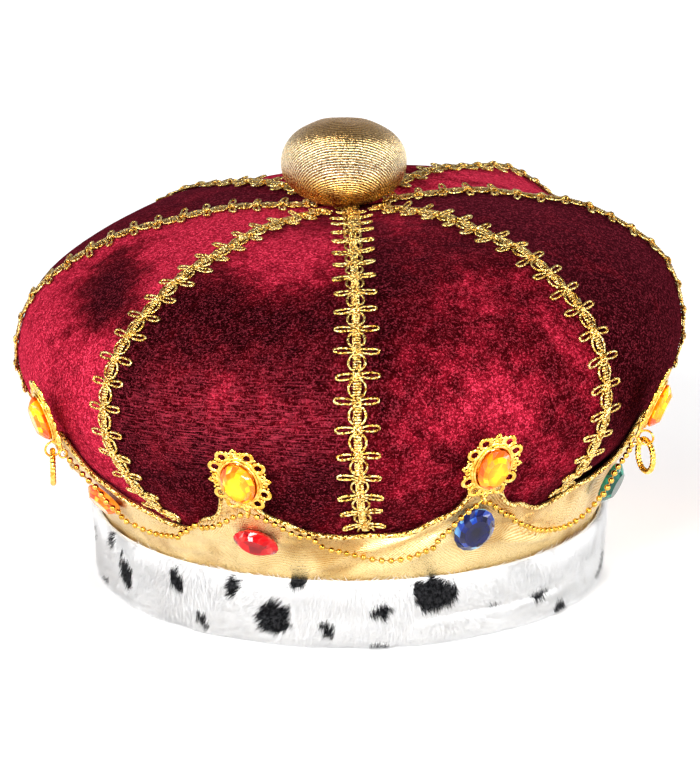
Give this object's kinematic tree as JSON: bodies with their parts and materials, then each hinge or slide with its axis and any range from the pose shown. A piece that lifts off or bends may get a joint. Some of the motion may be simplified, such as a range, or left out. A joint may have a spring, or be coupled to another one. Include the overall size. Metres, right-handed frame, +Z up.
{
  "type": "costume crown",
  "caption": "Soft domed costume crown: velvet gores, braided seams, stuffed ball, wavy jewelled gold band with bead swags, and a plush rim around the head opening.",
  "frame": {"origin": "middle of the head opening in the plane of the rim's foot", "axes": "+Z up through the ball, -Y towards the front seam, +X to the viewer's right from the front"},
  "size_m": [0.2657, 0.2655, 0.1807],
  "materials": {
    "plush": "deep plush pile with dark spots",
    "velvet": "crushed pile, soft sheen",
    "lame": "metallic weave",
    "braid": "plaited metallic cord",
    "ball_cloth": "ribbed metallic weave",
    "gold_metal": "bright plating",
    "bead_thread": "thin metallic thread",
    "amber_stone": "cut, foil-backed",
    "blue_stone": "cut, foil-backed",
    "green_stone": "cut, foil-backed",
    "orange_stone": "cut, foil-backed",
    "red_stone": "cut, foil-backed"
  },
  "bodies": {
    "root": {"plush_rim": "plush", "gold_band": "lame", "top_ball": "ball_cloth", "rope_ring_left": "gold_metal", "rope_ring_right": "gold_metal", "gore_1": "velvet", "gore_2": "velvet", "gore_3": "velvet", "gore_4": "velvet", "gore_5": "velvet", "gore_6": "velvet", "gore_7": "velvet", "gore_8": "velvet", "braid_1": "braid", "braid_2": "braid", "braid_3": "braid", "braid_4": "braid", "braid_5": "braid", "braid_6": "braid", "braid_7": "braid", "braid_8": "braid", "setting_1": "gold_metal", "setting_2": "gold_metal", "setting_3": "gold_metal", "setting_4": "gold_metal", "setting_5": "gold_metal", "setting_6": "gold_metal", "setting_7": "gold_metal", "setting_8": "gold_metal", "jewel_stone_1": "amber_stone", "jewel_stone_2": "amber_stone", "jewel_stone_3": "amber_stone", "jewel_stone_4": "amber_stone", "jewel_stone_5": "amber_stone", "jewel_stone_6": "amber_stone", "jewel_stone_7": "amber_stone", "jewel_stone_8": "amber_stone", "band_stone_1": "blue_stone", "band_stone_2": "green_stone", "band_stone_3": "orange_stone", "band_stone_4": "red_stone", "band_stone_5": "blue_stone", "band_stone_6": "green_stone", "band_stone_7": "orange_stone", "band_stone_8": "red_stone", "bead_chain_1": "gold_metal", "bead_chain_2": "gold_metal", "bead_chain_3": "gold_metal", "bead_thread_1": "bead_thread", "bead_thread_2": "bead_thread", "bead_thread_3": "bead_thread"}
  },
  "joints": []
}
